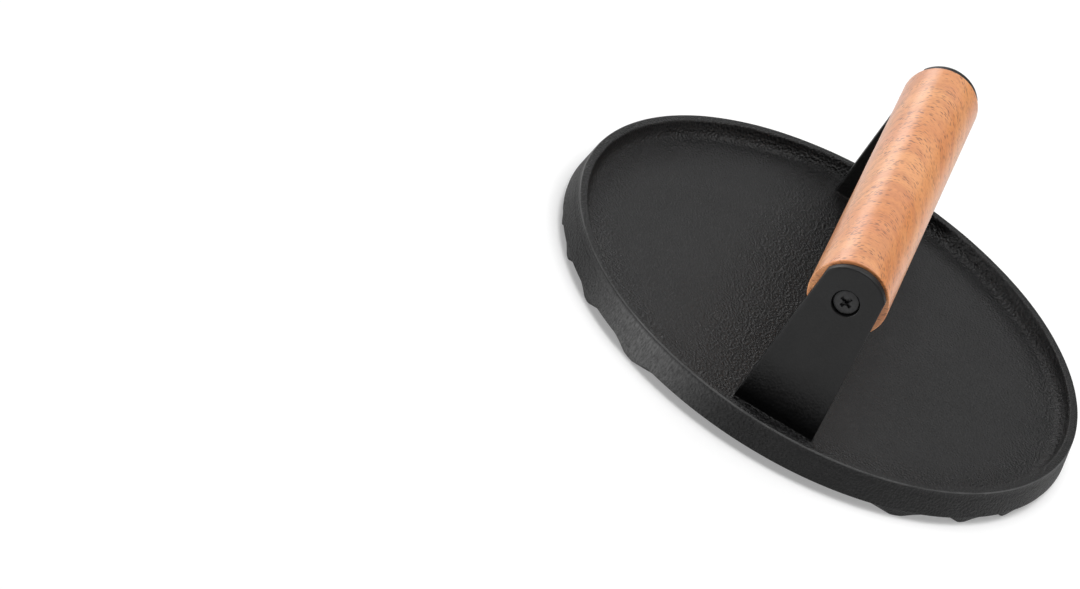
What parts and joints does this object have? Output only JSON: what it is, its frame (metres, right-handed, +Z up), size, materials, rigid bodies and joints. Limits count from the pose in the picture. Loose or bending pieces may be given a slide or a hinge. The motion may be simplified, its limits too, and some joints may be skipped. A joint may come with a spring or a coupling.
{
  "type": "bacon press",
  "caption": "Round cast-iron griddle press: a rimmed plate with a ribbed underside and two upright arms that hold a round wooden grip by a screw at each end.",
  "frame": {"origin": "centre of the plate, on the plane through the crests of the grill ribs that the press rests on", "axes": "+Z up, +Y along the wooden grip, +X across the grip and along the grill ribs"},
  "size_m": [0.2238, 0.2238, 0.0833],
  "materials": {
    "cast_iron": "black seasoned cast iron, fine orange-peel grain, satin",
    "varnished_wood": "orange-brown hardwood with short dark pores, clear gloss varnish",
    "zinc_steel": "zinc-plated steel, hidden inside the grip",
    "black_steel": "black oxide steel, satin"
  },
  "bodies": {
    "root": {"press_casting": "cast_iron", "wooden_grip": "varnished_wood", "threaded_tube": "zinc_steel", "screw_front": "black_steel", "screw_rear": "black_steel"}
  },
  "joints": []
}
